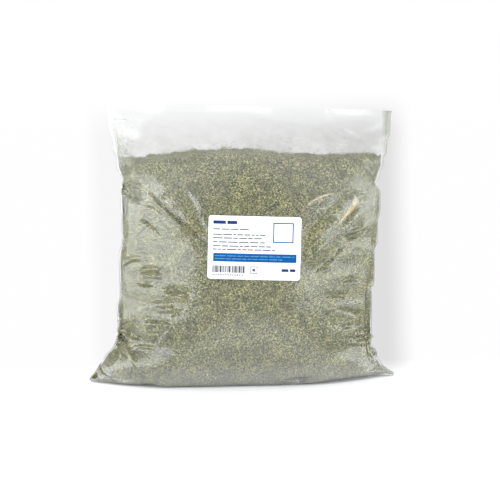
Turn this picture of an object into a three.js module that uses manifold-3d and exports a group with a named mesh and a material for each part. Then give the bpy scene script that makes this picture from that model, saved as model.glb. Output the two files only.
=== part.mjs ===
// A clear film bag of dried dill tips: a welded pillow bag, filled and standing on its base, with a paper
// label on its front. Millimetres, +Z up, +X to the right, -Y to the front. The origin is the centre of the
// bag's box, on the surface that it stands on.

import * as THREE from "three";
import { mergeVertices } from "three/addons/utils/BufferGeometryUtils.js";
import Module from "manifold-3d";

// ---- Driving dimensions ----

const FILM = 0.8; // wall of the bag, drawn thicker than the real 0.1 mm
const SEAL_BASE = 294; // height where the front and back film meet
const HEIGHT = 304; // top edge of the welded strip, before the top's slope
const FILL_HEIGHT = 249.5; // mean height of the loose surface of the dill
const FILL_GAP = 1.7; // clear space between the film and the dill
const FOLD_WIDTH = 5; // clear film outside the dill along each side fold
const INNER_FOLD = 1.6; // film at a side fold, measured inwards from the fold

// [height, x] of the two side folds, from the ears at the base to the top corners
const LEFT_FOLD = [
  [0, -173], [14, -163], [36, -149.5], [48, -138.5], [63, -140.5], [92, -136.5],
  [142, -134], [158, -130.5], [203, -129.5], [217, -130.5], [247, -136.5], [HEIGHT, -148],
];
const RIGHT_FOLD = [
  [0, 169], [5, 161], [24, 150], [44, 144.5], [65, 144.5], [97, 146.5],
  [130, 150], [160, 152], [202, 157], [221, 157], [247, 162.5], [HEIGHT, 172],
];

// [height, half the depth] at the middle of the bag
const HALF_DEPTH = [
  [0, 47], [8, 54], [25, 61], [80, 66], [145, 65.5], [195, 62], [230, 56],
  [250, 48.5], [274, 31], [SEAL_BASE, 0.8], [HEIGHT, 0.8],
];

// [height, power, sharpness] of the section: how square it is, and how pinched its two ends are
const SECTION_POWER = [[0, 5], [60, 3.2], [200, 2.8], [HEIGHT, 3]];
const SECTION_SHARPNESS = [
  [0, 1.2], [36, 0.9], [70, 0.62], [215, 0.62], [SEAL_BASE, 0.9], [HEIGHT, 0.5],
];

// Creases in the film, as valleys: [x, z] of both ends, half width and depth
const FRONT_CREASES = [
  { from: [-118, 245], to: [-42, 163], halfWidth: 13, depth: 5 }, // long slant from the upper left corner
  { from: [136, 211], to: [80, 119], halfWidth: 13, depth: 4.5 }, // long slant on the right
  { from: [-132, 217], to: [-84, 203], halfWidth: 11, depth: 4 }, // fan out of the upper left pinch
  { from: [-142, 54], to: [-88, 82], halfWidth: 12, depth: 4.5 }, // fan out of the lower left pinch
  { from: [-142, 48], to: [-92, 38], halfWidth: 11, depth: 3.5 },
  { from: [148, 56], to: [98, 80], halfWidth: 12, depth: 4 }, // fan out of the lower right pinch
  { from: [148, 50], to: [106, 34], halfWidth: 11, depth: 3.5 },
];
const BACK_CREASES = [
  { from: [-134, 220], to: [-62, 170], halfWidth: 13, depth: 4.5 },
  { from: [-142, 52], to: [-84, 70], halfWidth: 12, depth: 4.5 },
  { from: [150, 216], to: [88, 180], halfWidth: 13, depth: 4.5 },
  { from: [148, 52], to: [92, 64], halfWidth: 12, depth: 4 },
];

// Ripples beside the side folds: the shares of the half width over which they rise and fade, and the same
// for their heights
const PUCKER = {
  pitch: 31,
  depth: 3.4,
  slant: 3,
  rise: [0.5, 0.82],
  fade: [0.9, 0.98],
  low: [30, 60],
  high: [215, 245],
};

const LABEL = { width: 99.1, height: 67.7, corner: 3, thick: 0.6, gap: 0.5, x: 16.5, z: 152, turn: -2.8 };

const TOP_SLOPE = -0.055; // rise of the top edge along +X
const EAR_LIFT = { start: 150, height: 1.5 }; // the right ear stands clear of the surface
const TOP_WAVE = { height: 11, length: 250 }; // bend of the sealed strip, front to back

const BAG_COLUMNS = 34; // facets across each face of the bag
const BAG_ROWS = 34; // rows between the base and the seal
const FILL_COLUMNS = 36;
const FILL_ROWS = 25;
const FILL_TOP_ROWS = 12;
const SEAL_GAP = 4; // the film's two faces close this far below the seal
const GRAIN_RELIEF = 1.5; // depth of the dill's grains, larger than life

// The loose surface: a low crown a little left of the middle, a ripple across it, and a rough heap inside
const CROWN = { height: 5, turn: 2.2, shift: 0.25 };
const RIPPLE = { height: 1.6, turn: 7 };
const HEAP = { height: 2.5, rough: 3, narrow: 40 }; // it fades out where the bag is narrower than this

// Tips that stand out of the loose surface, and the grid columns and rows along its rim that stay free
const TIPS = { count: 115, length: 12, thick: 1.5, standing: 0.75, freeColumns: 4, freeRows: 3, seed: 11 };

const VENT = { x: 60, z: 276, across: 3, reach: 60 }; // pin hole through the back film that lets air out

// ---- Small tools ----

const clamp01 = (t) => Math.min(1, Math.max(0, t));
const mix = (a, b, t) => a + (b - a) * t;
const smooth = (low, high, v) => {
  const t = clamp01((v - low) / (high - low));
  return t * t * (3 - 2 * t);
};

// A smooth curve through [height, value] points, with no overshoot.
function profile(points) {
  const rise = points.slice(1).map(([z, v], i) => (v - points[i][1]) / (z - points[i][0]));
  const slope = points.map((_, i) => {
    if (i === 0) return rise[0];
    if (i === points.length - 1) return rise[i - 1];
    const [before, after] = [rise[i - 1], rise[i]];
    return before * after <= 0 ? 0 : (2 * before * after) / (before + after);
  });
  return (z) => {
    const last = points.length - 2;
    const i = Math.min(last, Math.max(0, points.findIndex(([end]) => end > z) - 1));
    const at = z >= points[last + 1][0] ? last : i;
    const [z0, v0] = points[at];
    const [z1, v1] = points[at + 1];
    const step = z1 - z0;
    const t = clamp01((z - z0) / step);
    const leave = v0 * (1 + 2 * t) + slope[at] * step * t;
    const reach = v1 * (3 - 2 * t) - slope[at + 1] * step * (1 - t);
    return leave * (1 - t) ** 2 + reach * t ** 2;
  };
}

// A repeatable random number from 0 to 1 for each call.
function randomFrom(seed) {
  let state = seed;
  return () => {
    state = (state * 1664525 + 1013904223) % 4294967296;
    return state / 4294967296;
  };
}

// A repeatable value from 0 to 1 that belongs to a place on a grid.
function grain(i, j, k) {
  const value = Math.sin(i * 127.1 + j * 311.7 + k * 74.7) * 43758.5453;
  return value - Math.floor(value);
}

// ---- The bag's form ----

const leftFold = profile(LEFT_FOLD);
const rightFold = profile(RIGHT_FOLD);
const halfDepth = profile(HALF_DEPTH);
const sectionPower = profile(SECTION_POWER);
const sectionSharpness = profile(SECTION_SHARPNESS);

// How far the creases of one face press in at x, z.
function creaseDepth(creases, x, z) {
  const depths = creases.map(({ from, to, halfWidth, depth }) => {
    const along = new THREE.Vector2(to[0] - from[0], to[1] - from[1]);
    const offset = new THREE.Vector2(x - from[0], z - from[1]);
    const run = clamp01(offset.dot(along) / along.lengthSq());
    const away = offset.distanceTo(along.multiplyScalar(run));
    const fade = Math.sin(Math.PI * mix(0.2, 0.9, run));
    return depth * fade * (1 - smooth(0, halfWidth, away));
  });
  return Math.max(...depths);
}

// How far the ripples beside the side folds press in, across the bag from -1 to 1 and at height z.
function puckerDepth(across, z) {
  const { pitch, depth, slant, rise, fade, low, high } = PUCKER;
  const beside = smooth(...rise, Math.abs(across)) * (1 - smooth(...fade, Math.abs(across)));
  const inFill = smooth(...low, z) * (1 - smooth(...high, z));
  return depth * beside * inFill * (0.5 - 0.5 * Math.cos((2 * Math.PI * z) / pitch + slant * across));
}

// A point of the bag's form, moved in from the outer surface. across is -1 at the left fold and 1 at the
// right, face is -1 on the front and 1 on the back, wall is the way in from a face, fold that from a fold.
function formPoint(across, z, face, wall = 0, fold = 0) {
  const left = leftFold(z) + fold;
  const right = rightFold(z) - fold;
  const x = mix(left, right, (across + 1) / 2);
  const end = 1 - Math.abs(across) ** sectionPower(z);
  const full = clamp01(end) ** sectionSharpness(z);
  const pressed = puckerDepth(across, z) + creaseDepth(face < 0 ? FRONT_CREASES : BACK_CREASES, x, z);
  const y = Math.max(0, (halfDepth(z) - wall) * full - pressed * smooth(0, 0.5, full));
  return bend(x, face * y, z);
}

// The lean and slope that all pieces share.
function bend(x, y, z) {
  const up = (z / HEIGHT) ** 3;
  const wave = TOP_WAVE.height * up * Math.sin((2 * Math.PI * x) / TOP_WAVE.length);
  const ear = EAR_LIFT.height * smooth(EAR_LIFT.start, RIGHT_FOLD[0][1], x) * (1 - smooth(0, 40, z));
  return new THREE.Vector3(x, y + wave, z + ear + up * TOP_SLOPE * x);
}

// Places from -1 to 1 that lie closer together towards both ends.
const across = (i, columns) => Math.sin((Math.PI / 2) * ((2 * i) / columns - 1));

// ---- Meshes and solids ----

const wasm = await Module();
wasm.setup();

// One closed geometry from grids of points, each given as rows of equal length. flip turns its faces round.
function closedGeometry(grids) {
  const corners = [];
  for (const { rows, flip } of grids) {
    for (let j = 0; j + 1 < rows.length; j++) {
      for (let i = 0; i + 1 < rows[j].length; i++) {
        const [a, b, c, d] = [rows[j][i], rows[j][i + 1], rows[j + 1][i + 1], rows[j + 1][i]];
        corners.push(...(flip ? [a, c, b, a, d, c] : [a, b, c, a, c, d]));
      }
    }
  }
  const loose = new THREE.BufferGeometry().setFromPoints(corners);
  const merged = mergeVertices(loose, 1e-3);
  const kept = [];
  const index = merged.index.array;
  for (let t = 0; t < index.length; t += 3) {
    const [a, b, c] = [index[t], index[t + 1], index[t + 2]];
    if (a !== b && b !== c && c !== a) kept.push(a, b, c);
  }
  return merged.setIndex(kept);
}

function solidOf(geometry) {
  const bare = geometry.clone();
  bare.deleteAttribute("normal");
  bare.deleteAttribute("uv");
  const merged = mergeVertices(bare, 1e-3);
  return new wasm.Manifold(
    new wasm.Mesh({
      numProp: 3,
      vertProperties: new Float32Array(merged.attributes.position.array),
      triVerts: new Uint32Array(merged.index.array),
    }),
  );
}

function geometryOf(solid) {
  const made = solid.getMesh();
  const geometry = new THREE.BufferGeometry();
  geometry.setAttribute("position", new THREE.BufferAttribute(made.vertProperties, 3));
  geometry.setIndex(new THREE.BufferAttribute(made.triVerts, 1));
  geometry.computeVertexNormals();
  return geometry;
}

// A closed form between the first and last of its heights: front and back faces, and a flat cap at each end.
function formShell(heights, wall, fold) {
  const face = (side) =>
    heights.map((z) =>
      Array.from({ length: BAG_COLUMNS + 1 }, (_, i) => {
        const u = across(i, BAG_COLUMNS);
        return formPoint(u, z, side, wall, fold);
      }),
    );
  const [front, back] = [face(-1), face(1)];
  const last = heights.length - 1;
  return closedGeometry([
    { rows: front },
    { rows: back, flip: true },
    { rows: [back[0], front[0]] },
    { rows: [front[last], back[last]] },
  ]);
}

// The heights of the rows inside the bag, closer together at the base's bend and below the seal.
const innerHeights = Array.from({ length: BAG_ROWS + 1 }, (_, j) => {
  const t = j / BAG_ROWS;
  return mix(FILM, SEAL_BASE - SEAL_GAP, t - 0.09 * Math.sin(2 * Math.PI * t));
});

// ---- Sub-parts ----

function filmBag() {
  const outside = solidOf(formShell([0, ...innerHeights, SEAL_BASE, HEIGHT], 0, 0));
  const inside = solidOf(formShell(innerHeights, FILM, INNER_FOLD));
  const pin = new THREE.CylinderGeometry(VENT.across / 2, VENT.across / 2, VENT.reach, 6);
  pin.translate(0, VENT.reach / 2, 0);
  const hole = pin.applyMatrix4(new THREE.Matrix4().makeTranslation(VENT.x, 0, VENT.z));
  return geometryOf(outside.subtract(inside).subtract(solidOf(hole)));
}

// Height of the loose surface of the dill, across the bag from -1 to 1.
function fillTop(u) {
  const crown = CROWN.height * Math.cos(CROWN.turn * (u + CROWN.shift));
  return FILL_HEIGHT + crown + RIPPLE.height * Math.sin(RIPPLE.turn * u);
}

function dillFill() {
  const base = FILM + FILL_GAP;
  const wall = FILM + FILL_GAP;
  const face = (side) =>
    Array.from({ length: FILL_ROWS + 1 }, (_, j) =>
      Array.from({ length: FILL_COLUMNS + 1 }, (_, i) => {
        const u = across(i, FILL_COLUMNS);
        const z = mix(base, fillTop(u), j / FILL_ROWS);
        const inRim = j > 0 && j < FILL_ROWS && i > 0 && i < FILL_COLUMNS;
        const relief = inRim ? GRAIN_RELIEF * grain(i, j, side) : 0;
        return formPoint(u, z, side, wall + relief, FOLD_WIDTH);
      }),
    );
  const [front, back] = [face(-1), face(1)];
  const top = Array.from({ length: FILL_TOP_ROWS + 1 }, (_, k) =>
    front[FILL_ROWS].map((start, i) => {
      const depth = k / FILL_TOP_ROWS;
      const spot = start.clone().lerp(back[FILL_ROWS][i], depth);
      const inside = Math.sin(Math.PI * depth) * smooth(0, HEAP.narrow, back[FILL_ROWS][i].y - start.y);
      spot.z += inside * (HEAP.height + HEAP.rough * (grain(i, k, 5) - 0.5));
      return spot;
    }),
  );
  const heap = closedGeometry([
    { rows: front },
    { rows: back, flip: true },
    { rows: [back[0], front[0]] },
    { rows: top },
  ]);
  return geometryOf(dillTips(top).reduce((whole, tip) => whole.add(tip), solidOf(heap)));
}

// Slim three-sided tips, strewn over the loose surface and sunk into it.
function dillTips(surface) {
  const random = randomFrom(TIPS.seed);
  const { freeColumns, freeRows } = TIPS;
  return Array.from({ length: TIPS.count }, () => {
    const column = freeColumns + Math.floor(random() * (FILL_COLUMNS - 2 * freeColumns));
    const row = freeRows + Math.floor(random() * (FILL_TOP_ROWS + 1 - 2 * freeRows));
    const foot = surface[row][column];
    const length = TIPS.length * mix(0.7, 1.1, random());
    const tip = new THREE.ConeGeometry(TIPS.thick / 2, length, 3);
    tip.translate(0, length * (TIPS.standing - 0.5), 0);
    const direction = new THREE.Vector3(random() - 0.5, random() - 0.5, mix(0.2, 0.5, random())).normalize();
    const turn = new THREE.Quaternion().setFromUnitVectors(new THREE.Vector3(0, 1, 0), direction);
    tip.applyQuaternion(turn);
    tip.translate(foot.x, foot.y, foot.z);
    return solidOf(tip);
  });
}

// The label follows the front film; its outline is a rounded rectangle cut straight through.
function label() {
  const { width, height, corner, thick, gap, x, z, turn } = LABEL;
  const [columns, rows, spare] = [14, 10, 6];
  const sheet = (lift) =>
    Array.from({ length: rows + 1 }, (_, j) =>
      Array.from({ length: columns + 1 }, (_, i) => {
        const px = x + (i / columns - 0.5) * (width + 2 * spare);
        const pz = z + (j / rows - 0.5) * (height + 3 * spare);
        return new THREE.Vector3(px, frontAt(px, pz) - lift, pz);
      }),
    );
  const [back, front] = [sheet(gap), sheet(gap + thick)];
  const edge = (pick) => [front.map(pick), back.map(pick)];
  const plate = closedGeometry([
    { rows: front },
    { rows: back, flip: true },
    { rows: [back[0], front[0]] },
    { rows: [front[rows], back[rows]] },
    { rows: edge((row) => row[0]), flip: false },
    { rows: edge((row) => row[columns]), flip: true },
  ]);
  const [w, h] = [width / 2, height / 2];
  const outline = new THREE.Shape();
  outline.moveTo(-w + corner, -h);
  outline.lineTo(w - corner, -h);
  outline.absarc(w - corner, -h + corner, corner, -Math.PI / 2, 0);
  outline.absarc(w - corner, h - corner, corner, 0, Math.PI / 2);
  outline.absarc(-w + corner, h - corner, corner, Math.PI / 2, Math.PI);
  outline.absarc(-w + corner, -h + corner, corner, Math.PI, 1.5 * Math.PI);
  const die = new THREE.ExtrudeGeometry(outline, { depth: 100, bevelEnabled: false, curveSegments: 4 });
  die.rotateZ((turn * Math.PI) / 180);
  die.rotateX(Math.PI / 2);
  die.translate(x, 0, z);
  return geometryOf(solidOf(plate).intersect(solidOf(die)));
}

// y of the smooth outer front surface at x, z, without the creases.
function frontAt(x, z) {
  const u = (2 * (x - leftFold(z))) / (rightFold(z) - leftFold(z)) - 1;
  const full = clamp01(1 - Math.abs(u) ** sectionPower(z)) ** sectionSharpness(z);
  return bend(x, -halfDepth(z) * full, z).y;
}

// ---- The object ----

const MATERIALS = {
  film_bag: { color: 0xe9edec, roughness: 0.12, metalness: 0, transparent: true, opacity: 0.3 },
  dill_fill: { color: 0x7c8560, roughness: 0.95, metalness: 0 },
  label: { color: 0xf7f8f9, roughness: 0.45, metalness: 0 },
};

const pieces = { film_bag: filmBag(), dill_fill: dillFill(), label: label() };

const bag = new THREE.Group();
for (const [name, geometry] of Object.entries(pieces)) {
  const mesh = new THREE.Mesh(geometry, new THREE.MeshStandardMaterial(MATERIALS[name]));
  mesh.name = name;
  bag.add(mesh);
}
const box = new THREE.Box3().setFromObject(bag);
const centre = box.getCenter(new THREE.Vector3());
bag.position.set(-centre.x, -centre.y, -box.min.z);

export default bag;
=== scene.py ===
"""A clear film bag of dried dill tips on its base: film, dill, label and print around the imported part."""

import math

import bmesh
import bpy
import numpy as np
from mathutils import Matrix, Vector
from mathutils.bvhtree import BVHTree


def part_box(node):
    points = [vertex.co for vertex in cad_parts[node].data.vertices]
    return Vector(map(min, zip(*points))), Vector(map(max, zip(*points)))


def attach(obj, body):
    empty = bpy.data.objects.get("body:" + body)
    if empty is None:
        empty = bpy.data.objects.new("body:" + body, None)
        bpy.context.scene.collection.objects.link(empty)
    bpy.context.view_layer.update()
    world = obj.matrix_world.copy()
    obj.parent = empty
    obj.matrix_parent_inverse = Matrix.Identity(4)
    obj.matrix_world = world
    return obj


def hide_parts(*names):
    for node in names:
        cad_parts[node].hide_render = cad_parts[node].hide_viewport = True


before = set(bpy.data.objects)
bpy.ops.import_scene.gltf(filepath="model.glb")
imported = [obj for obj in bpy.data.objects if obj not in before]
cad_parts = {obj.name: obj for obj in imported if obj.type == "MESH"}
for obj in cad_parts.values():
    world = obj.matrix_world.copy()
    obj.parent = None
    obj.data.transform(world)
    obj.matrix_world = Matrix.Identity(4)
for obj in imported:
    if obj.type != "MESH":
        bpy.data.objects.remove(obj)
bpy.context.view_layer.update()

# ---- Driving dimensions, in metres unless a name or comment says otherwise ----

MM = 0.001
FLAT_WIDTH = 343 * MM  # the bag laid flat
FLAT_HEIGHT = 384 * MM
SEAL = 10 * MM  # welded strip at the top
FILL_TOP = 251 * MM  # mean height of the loose dill

LABEL_SIZE = (99.1 * MM, 67.7 * MM)
LABEL_X, LABEL_Z, LABEL_TURN = 16.5 * MM, 152 * MM, math.radians(-2.8)
LABEL_COS, LABEL_SIN = math.cos(LABEL_TURN), math.sin(LABEL_TURN)

rng = np.random.default_rng(20)

# ---- Small tools ----


def smooth(low, high, value):
    """0 to 1 as the value goes from low to high, with a soft start and end."""
    t = np.clip((value - low) / (high - low), 0, 1)
    return t * t * (3 - 2 * t)


def mesh_object(name, parts, material, soft=True):
    """A piece from parts: points, and faces that count from the part's first point."""
    points, faces = [], []
    for places, corners in parts:
        faces += (np.asarray(corners) + len(points)).tolist()
        points += np.asarray(places, float).reshape(-1, 3).tolist()
    mesh = bpy.data.meshes.new(name)
    mesh.from_pydata(points, [], faces)
    mesh.polygons.foreach_set("use_smooth", [soft] * len(mesh.polygons))
    mesh.materials.append(material)
    mesh.update()
    piece = bpy.data.objects.new(name, mesh)
    bpy.context.scene.collection.objects.link(piece)
    return piece


def placed(name, parts, material, soft=True):
    """A piece of the bag, with the slot of its material."""
    piece = mesh_object(name, parts, material, soft)
    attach(piece, "root")
    return piece


def grid_faces(rows, columns, wrap=False):
    """Quads of a grid of points kept row by row, its columns closed into a ring when wrap is true."""
    index = np.arange(rows * columns).reshape(rows, columns)
    right = np.roll(index, -1, 1)
    quads = np.stack([index[:-1], right[:-1], right[1:], index[1:]], -1)
    return (quads if wrap else quads[:, :-1]).reshape(-1, 4)


def weld(piece, distance):
    """Joins points that lie on one another."""
    shape = bmesh.new()
    shape.from_mesh(piece.data)
    bmesh.ops.remove_doubles(shape, verts=shape.verts, dist=distance)
    shape.to_mesh(piece.data)
    shape.free()


def between(grid, row, column, ring=False):
    """Values of a grid at fractional rows and columns, its columns closed into a ring when ring is true."""
    rows, columns = grid.shape[:2]
    row = np.clip(row, 0, rows - 1.001)
    column = column if ring else np.clip(column, 0, columns - 1.001)
    i, j = row.astype(int), np.floor(column).astype(int)
    s, t = (part.reshape(part.shape + (1,) * (grid.ndim - 2)) for part in (row - i, column - j))
    j, k = j % columns, (j + 1) % columns
    low = grid[i, j] * (1 - t) + grid[i, k] * t
    high = grid[i + 1, j] * (1 - t) + grid[i + 1, k] * t
    return low * (1 - s) + high * s


def calm(grid, passes=2):
    """The grid with its inner values evened out."""
    grid = grid.copy()
    for _ in range(passes):
        around = grid[:-2, 1:-1] + grid[2:, 1:-1] + grid[1:-1, :-2] + grid[1:-1, 2:]
        grid[1:-1, 1:-1] = grid[1:-1, 1:-1] / 2 + around / 8
    return grid


def node_points(name):
    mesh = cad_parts[name].data
    points = np.empty(len(mesh.vertices) * 3, np.float32)
    mesh.vertices.foreach_get("co", points)
    return points.reshape(-1, 3).astype(float), [tuple(face.vertices) for face in mesh.polygons]


# ---- The form that the film may fill ----


class Mould:
    """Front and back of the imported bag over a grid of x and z, and its two side folds."""

    STEP = 4 * MM
    LOWEST = 0.6 * MM
    MARGIN = 1.97  # cells beyond its left end, not whole, so that rays miss edges
    WHOLE = 288 * MM  # above this the slanted top edge cuts the rows short
    CARRIED = 8  # rows below it whose slope the side folds keep above it
    TOP_READ = -130, 150  # x in mm where the top edge's height is read
    TOP_NEAR = 15 * MM
    GIRTH_SAMPLES = 161

    def __init__(self):
        points, faces = node_points("film_bag")
        tree = BVHTree.FromPolygons([Vector(p) for p in points], faces)
        low, high = points.min(0), points.max(0)
        self.x = np.arange(low[0] - self.MARGIN * self.STEP, high[0] + 2 * self.STEP, self.STEP)
        self.z = np.arange(self.LOWEST, high[2] + 2 * self.STEP, self.STEP)
        self.front, self.back = (self.reach(tree, side) for side in (-1, 1))
        self.left, self.right = np.zeros((2, len(self.z)))
        self.fill_rows()
        self.front, self.back = calm(self.front), calm(self.back)
        first, last = self.TOP_READ
        corners = [points[np.abs(points[:, 0] - x * MM) < self.TOP_NEAR][:, 2].max() for x in (first, last)]
        self.slope = (corners[1] - corners[0]) / ((last - first) * MM)
        self.top = (corners[0] + corners[1]) / 2 - self.slope * (first + last) / 2 * MM
        top_x = points[points[:, 2] > self.WHOLE][:, 0]
        self.top_ends = (top_x.min(), top_x.max())

    def reach(self, tree, side):
        grid = np.full((len(self.z), len(self.x)), np.nan)
        for j, z in enumerate(self.z):
            for i, x in enumerate(self.x):
                hit = tree.ray_cast(Vector((x, side, z)), Vector((0, -side, 0)))[0]
                if hit is not None:
                    grid[j, i] = hit.y
        return grid

    def fill_rows(self):
        """Finds the side folds and carries front and back on beyond them and above the whole rows."""
        whole = int(self.WHOLE / self.STEP)
        for j in range(len(self.z)):
            if j > whole:
                self.front[j], self.back[j] = self.front[whole], self.back[whole]
                for fold in (self.left, self.right):
                    rise = fold[whole] - fold[whole - self.CARRIED]
                    fold[j] = fold[whole] + rise * (j - whole) / self.CARRIED
                continue
            hit = np.flatnonzero(~np.isnan(self.front[j]))
            self.left[j] = self.x[hit[0]] - self.STEP / 2
            self.right[j] = self.x[hit[-1]] + self.STEP / 2
            for grid in (self.front, self.back):
                grid[j] = np.interp(self.x, self.x[hit], grid[j, hit])

    def at(self, grid, x, z):
        return between(grid, (z - self.z[0]) / self.STEP, (x - self.x[0]) / self.STEP)

    def folds(self, z):
        return np.interp(z, self.z, self.left), np.interp(z, self.z, self.right)

    def half_girth(self):
        """Width of the flat bag that would wrap the form at each height."""
        across = np.linspace(0, 1, self.GIRTH_SAMPLES)
        width = np.zeros(len(self.z))
        for grid in (self.front, self.back):
            for j, (left, right) in enumerate(zip(self.left, self.right)):
                x = left + (right - left) * across
                y = np.interp(x, self.x, grid[j])
                y[[0, -1]] = (self.front[j] + self.back[j])[[0, -1]] / 2
                width[j] += np.hypot(np.diff(x), np.diff(y)).sum() / 2
        return width

    def top_at(self, x):
        return self.top + self.slope * x


mould = Mould()

# ---- The film, settled round its fill ----

# Where the left and right side fold gathers: height in mm and the length of film taken up there
PINCHES = [(48, 24), (217, 18)], [(46, 26), (222, 24)]
PINCH_REACH = 1  # mm above and below that height
EAR_HEIGHT = 0, 1.5  # of the left and right lower corner at the start, in mm
EAR_TARGETS = (1, 1), (-4, 1.5)  # where they settle: x from the solid's ends and height, in mm
FILM_GRID = 27, 48  # rows and columns at first
SETTLING = (650, 0.25 * MM), (600, 0.1 * MM), (500, 0.1 * MM)  # steps and shake, each on a grid twice as fine

# Pushes on the film in a step, for cells of this width
FILM_CELL = 14.6 * MM
PRESSURE, AIR, WEIGHT = 0.3 * MM, 0.02 * MM, 0.02 * MM
PRESSED, PRESSED_FADE = FILL_TOP + 18 * MM, 90 * MM  # where the fill's push ends, and how far below it fades
KEPT_SPEED = 0.97
TAUT = 0.99  # film round the fill, as a share of what would wrap it exactly

# The share of an error that a step takes away, for stretch and for squeeze where there are two
CELL_HOLD, SLANT_HOLD, BEND_HOLD = (1, 0.6), (0.7, 0.42), (0, 0.1)
TOP_HOLD, EAR_HOLD, FOLD_HOLD, SIDE_HOLD, MOULD_HOLD = 0.2, 0.3, 0.15, 0.5, 0.6
SEAM_REACH, SEAM_SINK = 0.85, 0.8  # how far across the seam is pressed down, and the height a step leaves
GRIPPED, GRIP = 0.5 * MM, 0.3  # below this height the floor leaves this share of a step's sliding
FILM_LOWEST, FACES_APART = 0.3 * MM, 0.25 * MM
FOLD_PLAY = 2 * MM  # how far the side folds may wander from the middle of the depth


def fold_heights(side, along):
    """Height of a side fold for lengths of film from the bottom seam."""
    height, ear = FLAT_HEIGHT / MM, EAR_HEIGHT[side]
    end = mould.top_at(mould.top_ends[side]) / MM
    gathered = sum(film for _, film in PINCHES[side])
    spread = (height - gathered) / (end - ear)
    lengths, heights = [0.0], [float(ear)]
    for level, film in PINCHES[side]:
        length = lengths[-1] + (level - heights[-1]) * spread
        lengths += [length, length + film]
        heights += [level - PINCH_REACH, level + PINCH_REACH]
    return np.interp(along / MM, lengths + [height], heights + [end]) * MM


def gathered_rows(rows):
    """1 for the rows that a pinch takes up."""
    along = np.linspace(0, FLAT_HEIGHT, rows)
    taken = np.zeros(rows)
    for side in (0, 1):
        height = fold_heights(side, along) / MM
        for level, _ in PINCHES[side]:
            taken[np.abs(height - level) < PINCH_REACH + 0.01] = 1
    return taken


def tube_across(columns):
    """Place across, -1 at the left fold to 1 at the right, and face, -1 front to 1 back, of each column."""
    half = columns // 2
    column = np.arange(columns)
    across = np.where(column <= half, 2 * column / half - 1, 3 - 2 * column / half)
    return across, np.sign(column - half) * (column > 0)


def film_start(rows, columns):
    """The tube laid on the mould: seam in row 0 under the base, welded edge in the last row."""
    across, face = tube_across(columns)
    up = mould.z[mould.z < mould.top]
    depth = mould.at(mould.back, 0 * up, up)
    section = np.vstack([[(0, 0)], np.column_stack([depth, up]), [(0, mould.top)]])
    walked = np.r_[0, np.cumsum(np.hypot(*np.diff(section, axis=0).T))]
    walked *= FLAT_HEIGHT / walked[-1]
    base = np.interp(mould.z[0], section[:, 1], walked)
    points = np.zeros((rows, columns, 3))
    side = np.abs(across) ** 3
    for row, along in enumerate(np.linspace(0, FLAT_HEIGHT, rows)):
        fold = np.where(across < 0, fold_heights(0, along), fold_heights(1, along))
        z = np.interp(along, walked, section[:, 1]) * (1 - side) + fold * side
        low, high = mould.folds(z)
        x = low + (high - low) * (across + 1) / 2
        front, back = mould.at(mould.front, x, z), mould.at(mould.back, x, z)
        out = np.clip(along / base, 0, 1) * (back - front) / 2
        z = z + (mould.top_at(x) - mould.top) * (z / mould.top) ** 3
        points[row] = np.column_stack([x, (front + back) / 2 + face * out, z])
    return points


def film_refine(points):
    """The same tube with twice the rows and columns."""
    wide = np.repeat(points, 2, 1)
    wide[:, 1::2] = (points + np.roll(points, -1, 1)) / 2
    fine = np.repeat(wide, 2, 0)[:-1]
    fine[1::2] = (wide[1:] + wide[:-1]) / 2
    return fine


def pull(start, end, rest, hold):
    """Moves pairs of points towards their rest distance and gives both back."""
    gap = end - start
    length = np.sqrt((gap * gap).sum(-1, keepdims=True)) + 1e-12
    share = (length - rest) / length
    gap *= share * np.where(share > 0, *hold) * 0.5
    return start + gap, end - gap


def pull_columns(points, first, step, every, rest, hold):
    index = np.arange(first, points.shape[1], every)
    other = (index + step) % points.shape[1]
    points[:, index], points[:, other] = pull(points[:, index], points[:, other], rest, hold)


def pull_rows(points, first, step, every, shift, rest, hold):
    index = np.arange(first, points.shape[0] - step, every)
    other = np.roll(points[index + step], -shift, 1)
    points[index], other = pull(points[index], other, rest, hold)
    points[index + step] = np.roll(other, shift, 1)


def hold_cells(points, taut, tall):
    """Keeps the cells' widths, heights and diagonals and, against sharp bends, the size of pairs of cells."""
    slant = np.hypot(taut, tall)
    for first in (0, 1):
        pull_columns(points, first, 1, 2, taut, CELL_HOLD)
    for first in (0, 1):
        pull_rows(points, first, 1, 2, 0, tall, CELL_HOLD)
    for first in (0, 1):
        for shift in (-1, 1):
            pull_rows(points, first, 1, 2, shift, slant[first:-1:2], SLANT_HOLD)
    for first in range(4):
        pull_columns(points, first, 2, 4, 2 * taut, BEND_HOLD)
        pull_rows(points, first, 2, 4, 0, 2 * tall, BEND_HOLD)


def hold_in_mould(points, face):
    """Keeps the film above the floor, between the side folds and each face on its own side."""
    x, y, z = points[..., 0], points[..., 1], points[..., 2]
    np.maximum(z, FILM_LOWEST, out=z)
    low, high = mould.folds(z)
    x += (np.clip(x, low, high) - x) * SIDE_HOLD
    front, back = mould.at(mould.front, x, z), mould.at(mould.back, x, z)
    middle = (front + back) / 2
    apart = np.minimum(FACES_APART, back - middle)
    low = np.choose(face + 1, (front, middle - FOLD_PLAY, middle + apart))
    high = np.choose(face + 1, (middle - apart, middle + FOLD_PLAY, back))
    y += (np.clip(y, low, high) - y) * MOULD_HOLD


def top_edge(across):
    """Where the welded edge is, for places across the bag."""
    left, right = mould.top_ends
    x = left + (right - left) * (across + 1) / 2
    z = mould.top_at(x)
    below = z - SEAL
    y = (mould.at(mould.front, x, below) + mould.at(mould.back, x, below)) / 2
    return np.column_stack([x, y, z])


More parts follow.
